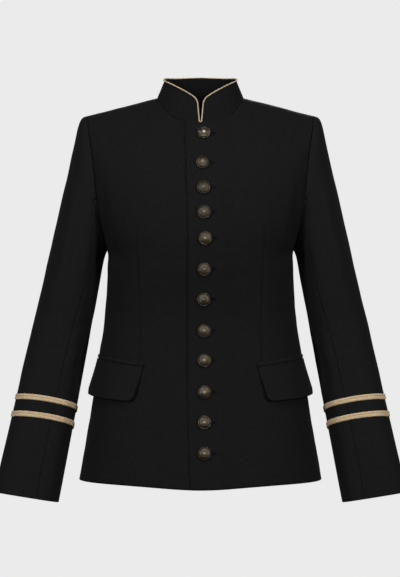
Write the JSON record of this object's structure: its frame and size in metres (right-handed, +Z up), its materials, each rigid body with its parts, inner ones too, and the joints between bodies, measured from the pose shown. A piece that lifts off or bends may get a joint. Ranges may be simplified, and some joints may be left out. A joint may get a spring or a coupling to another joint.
{
  "type": "blazer",
  "caption": "Fitted black jacket with a stand collar in corded piping, domed metal buttons, flap pockets and two braid bands on each sleeve, filled out as worn.",
  "frame": {"origin": "between the shoulder seams at the height where they meet the neck, where the wearer's shoulders carry the jacket", "axes": "+Z up, -Y is the front, +X is the wearer's left"},
  "size_m": [0.6536, 0.2473, 0.6821],
  "materials": {
    "cloth": "matt black wool",
    "braid": "flat old-gold braid",
    "piping": "round old-gold cord",
    "buttons": "domed, darkened in the hollows"
  },
  "bodies": {
    "root": {"front_left": "cloth", "front_right": "cloth", "back_left": "cloth", "back_right": "cloth", "collar": "cloth", "collar_piping": "piping", "sleeve_top_left": "cloth", "sleeve_under_left": "cloth", "cuff_braid_upper_left": "braid", "cuff_braid_lower_left": "braid", "pocket_flap_left": "cloth", "pocket_welt_left": "cloth", "sleeve_top_right": "cloth", "sleeve_under_right": "cloth", "cuff_braid_upper_right": "braid", "cuff_braid_lower_right": "braid", "pocket_flap_right": "cloth", "pocket_welt_right": "cloth", "button_01": "buttons", "button_02": "buttons", "button_03": "buttons", "button_04": "buttons", "button_05": "buttons", "button_06": "buttons", "button_07": "buttons", "button_08": "buttons", "button_09": "buttons", "button_10": "buttons", "button_11": "buttons", "button_12": "buttons"}
  },
  "joints": []
}
